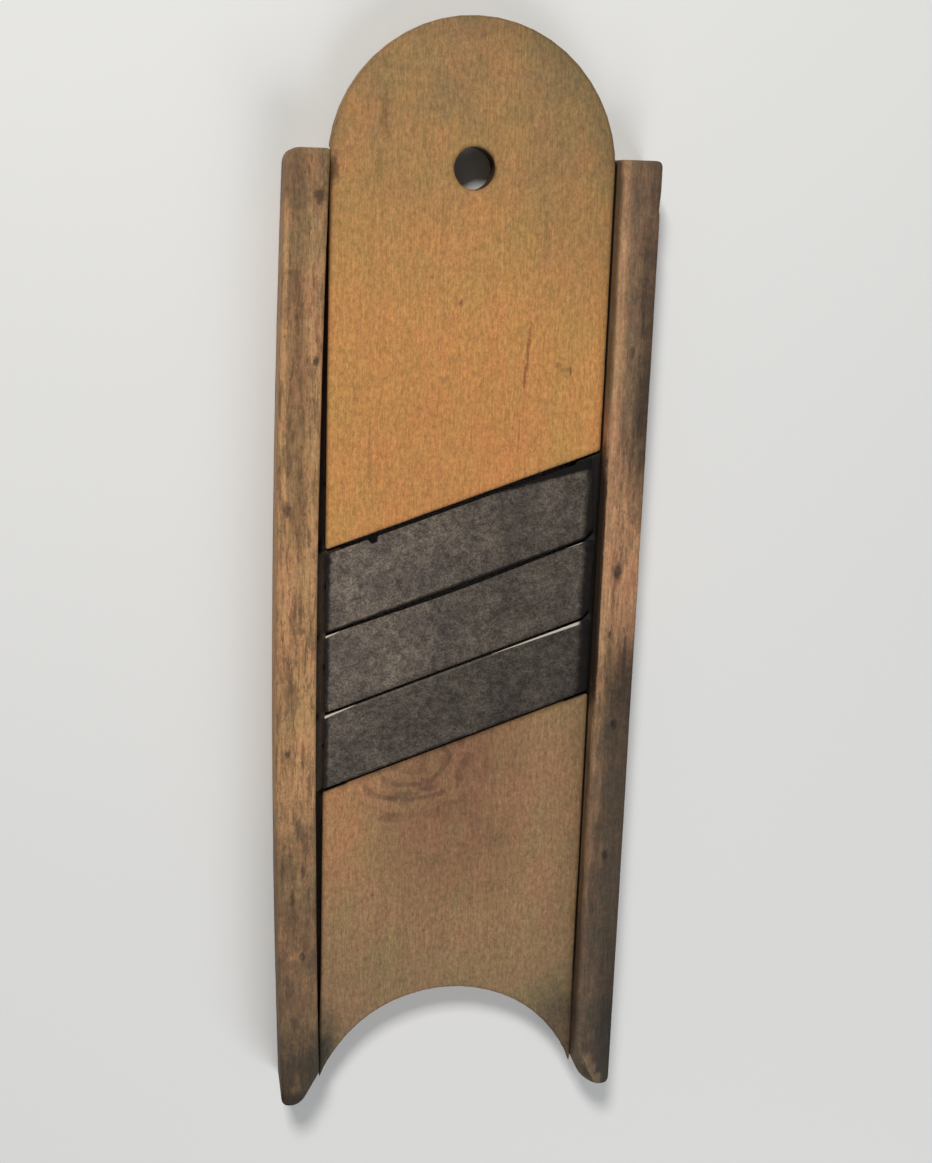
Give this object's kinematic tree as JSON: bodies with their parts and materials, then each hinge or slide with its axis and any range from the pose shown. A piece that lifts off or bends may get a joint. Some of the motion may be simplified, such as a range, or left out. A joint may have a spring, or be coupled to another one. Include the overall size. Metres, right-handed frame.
{
  "type": "mandoline slicer",
  "caption": "Wooden vegetable slicer with side rails, round-topped handle board, arched foot and slanted adjustable steel knives.",
  "frame": {"origin": "middle of the slicer's underside as it lies on its back, in the plane of the rails' rear faces", "axes": "+Z out of the slicing face, +Y towards the rounded handle end, +X across to the right rail"},
  "size_m": [0.153, 0.462, 0.026],
  "materials": {
    "rail_wood": "aged grey-brown hardwood, worn smooth and stained with handling",
    "upper_board_wood": "honey-brown fine-grained board, dry satin",
    "lower_board_wood": "browner stained board with a knot figure, dry satin",
    "knife_steel": "dark mottled patina on carbon steel, bright only along the honed edges",
    "fixing_steel": "dull oxidised steel"
  },
  "bodies": {
    "frame": {"left_rail": "rail_wood", "right_rail": "rail_wood", "upper_board": "upper_board_wood", "lower_board": "lower_board_wood", "upper_board_screw_left_low": "fixing_steel", "upper_board_screw_left_high": "fixing_steel", "upper_board_screw_right_low": "fixing_steel", "upper_board_screw_right_high": "fixing_steel", "lower_board_screw_left_low": "fixing_steel", "lower_board_screw_left_high": "fixing_steel", "lower_board_screw_right_low": "fixing_steel", "lower_board_screw_right_high": "fixing_steel"},
    "upper_knife_set": {"upper_knife": "knife_steel", "upper_knife_left_stud": "fixing_steel", "upper_knife_left_washer": "fixing_steel", "upper_knife_left_nut": "fixing_steel", "upper_knife_right_stud": "fixing_steel", "upper_knife_right_washer": "fixing_steel", "upper_knife_right_nut": "fixing_steel"},
    "middle_knife_set": {"middle_knife": "knife_steel", "middle_knife_left_stud": "fixing_steel", "middle_knife_left_washer": "fixing_steel", "middle_knife_left_nut": "fixing_steel", "middle_knife_right_stud": "fixing_steel", "middle_knife_right_washer": "fixing_steel", "middle_knife_right_nut": "fixing_steel"},
    "lower_knife_set": {"lower_knife": "knife_steel", "lower_knife_left_stud": "fixing_steel", "lower_knife_left_washer": "fixing_steel", "lower_knife_left_nut": "fixing_steel", "lower_knife_right_stud": "fixing_steel", "lower_knife_right_washer": "fixing_steel", "lower_knife_right_nut": "fixing_steel"}
  },
  "joints": [
    {"name": "upper_knife_slide", "type": "slide", "parent": "frame", "child": "upper_knife_set", "axis": [-0.3417, 0.9388, 0.0446], "range_m": [-0.001, 0.001]},
    {"name": "middle_knife_slide", "type": "slide", "parent": "frame", "child": "middle_knife_set", "axis": [-0.3417, 0.9388, 0.0446], "range_m": [-0.001, 0.001]},
    {"name": "lower_knife_slide", "type": "slide", "parent": "frame", "child": "lower_knife_set", "axis": [-0.3417, 0.9388, 0.0446], "range_m": [-0.001, 0.001]}
  ]
}
